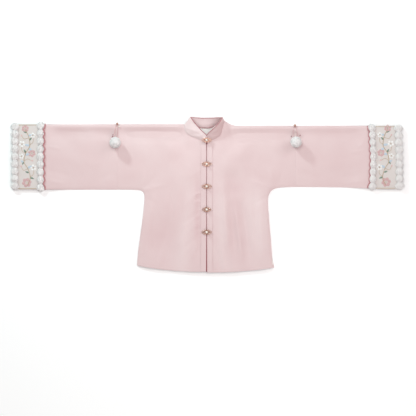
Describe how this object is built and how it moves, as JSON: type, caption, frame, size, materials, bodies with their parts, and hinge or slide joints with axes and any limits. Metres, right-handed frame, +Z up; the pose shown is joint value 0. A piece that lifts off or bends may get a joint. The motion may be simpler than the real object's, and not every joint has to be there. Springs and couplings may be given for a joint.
{
  "type": "stand-collar jacket",
  "caption": "Flat-laid satin jacket with a stand collar, clasped centre-front opening, wide straight sleeves, embroidered cuff bands with fur trim and hanging plush charms.",
  "frame": {"origin": "middle of the underside, on the surface that the jacket lies on", "axes": "+Z up from the surface, +X along the sleeves towards the right as seen from above, +Y from the hem to the collar"},
  "size_m": [1.534, 0.6056, 0.0521],
  "materials": {
    "satin": "pale pink satin",
    "piping": "rose satin cord",
    "lining": "white lining",
    "cuff_satin": "ivory satin with embroidery",
    "plush": "white plush fur",
    "rose_gold": "polished rose-gold plate",
    "pearl": "pearl lustre",
    "silk_cord": "twisted silk cord",
    "garnet_bead": "polished bead"
  },
  "bodies": {
    "root": {"body_back": "satin", "body_front_left": "satin", "body_front_right": "satin", "charm_left_bead": "rose_gold", "charm_left_cord_1": "silk_cord", "charm_left_cord_2": "silk_cord", "charm_left_cord_3": "silk_cord", "charm_left_drop_1": "garnet_bead", "charm_left_drop_2": "garnet_bead", "charm_left_pearl": "pearl", "charm_left_pompom": "plush", "charm_right_bead": "rose_gold", "charm_right_cord_1": "silk_cord", "charm_right_cord_2": "silk_cord", "charm_right_cord_3": "silk_cord", "charm_right_drop_1": "garnet_bead", "charm_right_drop_2": "garnet_bead", "charm_right_pompom": "plush", "clasp_1_left": "rose_gold", "clasp_1_pearl": "pearl", "clasp_1_right": "rose_gold", "clasp_2_left": "rose_gold", "clasp_2_pearl": "pearl", "clasp_2_right": "rose_gold", "clasp_3_left": "rose_gold", "clasp_3_pearl": "pearl", "clasp_3_right": "rose_gold", "clasp_4_left": "rose_gold", "clasp_4_pearl": "pearl", "clasp_4_right": "rose_gold", "clasp_5_left": "rose_gold", "clasp_5_pearl": "pearl", "clasp_5_right": "rose_gold", "collar_back": "satin", "collar_piping_back": "piping", "collar_piping_wing_left": "piping", "collar_piping_wing_right": "piping", "collar_wing_left": "satin", "collar_wing_right": "satin", "cuff_back_left": "cuff_satin", "cuff_back_right": "cuff_satin", "cuff_front_left": "cuff_satin", "cuff_front_right": "cuff_satin", "front_band_left": "satin", "front_band_right": "satin", "fur_inner_back_left": "plush", "fur_inner_back_right": "plush", "fur_inner_front_left": "plush", "fur_inner_front_right": "plush", "fur_outer_back_left": "plush", "fur_outer_back_right": "plush", "fur_outer_front_left": "plush", "fur_outer_front_right": "plush", "lining_back": "lining", "sleeve_back_left": "satin", "sleeve_back_right": "satin", "sleeve_front_left": "satin", "sleeve_front_right": "satin"}
  },
  "joints": []
}
